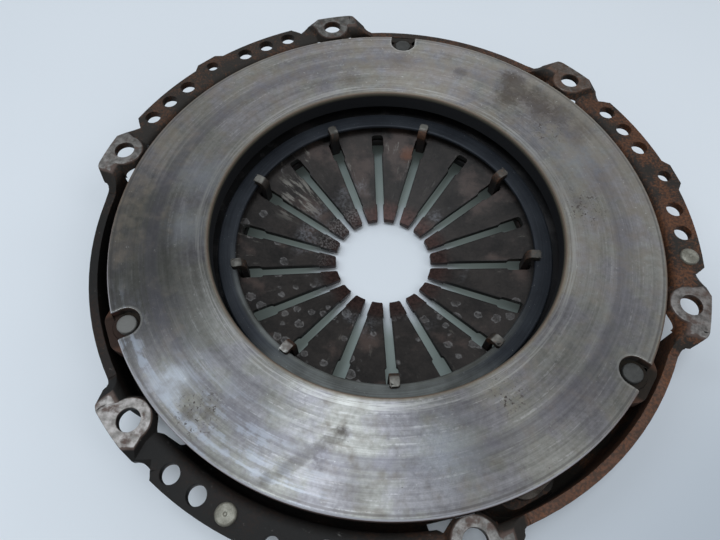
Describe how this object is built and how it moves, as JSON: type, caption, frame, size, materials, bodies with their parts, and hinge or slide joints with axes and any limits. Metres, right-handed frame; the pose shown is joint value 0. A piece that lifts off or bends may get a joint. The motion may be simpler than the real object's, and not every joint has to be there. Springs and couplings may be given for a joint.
{
  "type": "clutch pressure plate",
  "caption": "Diaphragm spring clutch cover assembly: a pressed cover with bolt ears carries a cast pressure plate on leaf straps.",
  "frame": {"origin": "centre of the bolt circle, in the plane of the six ear faces that seat on the flywheel", "axes": "+Z along the clutch axis towards the flywheel; +X through one bolt hole"},
  "size_m": [0.278, 0.2731, 0.04],
  "materials": {
    "cover_steel": "rusted, satin",
    "cast_iron": "ground and worn",
    "spring_steel": "dark oiled, worn tips",
    "ring_steel": "satin blued",
    "wire_steel": "drawn",
    "strap_steel": "rolled",
    "rivet_steel": "headed, worn",
    "balance_rivet_steel": "plated, dull"
  },
  "bodies": {
    "cover": {"cover": "cover_steel", "preload_ring": "ring_steel", "front_fulcrum_wire": "wire_steel", "rear_fulcrum_wire": "wire_steel", "diaphragm_spring": "spring_steel", "drive_strap_1_1": "strap_steel", "drive_strap_1_2": "strap_steel", "drive_strap_1_3": "strap_steel", "drive_strap_2_1": "strap_steel", "drive_strap_2_2": "strap_steel", "drive_strap_2_3": "strap_steel", "drive_strap_3_1": "strap_steel", "drive_strap_3_2": "strap_steel", "drive_strap_3_3": "strap_steel", "anchor_rivet_1": "rivet_steel", "anchor_rivet_2": "rivet_steel", "anchor_rivet_3": "rivet_steel", "balance_rivet_1": "balance_rivet_steel", "balance_rivet_2": "balance_rivet_steel"},
    "pressure_plate": {"pressure_plate": "cast_iron", "lug_rivet_1": "rivet_steel", "lug_rivet_2": "rivet_steel", "lug_rivet_3": "rivet_steel"}
  },
  "joints": [
    {"name": "plate_lift", "type": "slide", "parent": "cover", "child": "pressure_plate", "axis": [0, 0, 1], "range_m": [-0.0094, 0], "stiffness_N_per_m": 60000, "springref_m": 0.001, "deforming": ["diaphragm_spring", "drive_strap_1_1", "drive_strap_1_2", "drive_strap_1_3", "drive_strap_2_1", "drive_strap_2_2", "drive_strap_2_3", "drive_strap_3_1", "drive_strap_3_2", "drive_strap_3_3"]}
  ]
}
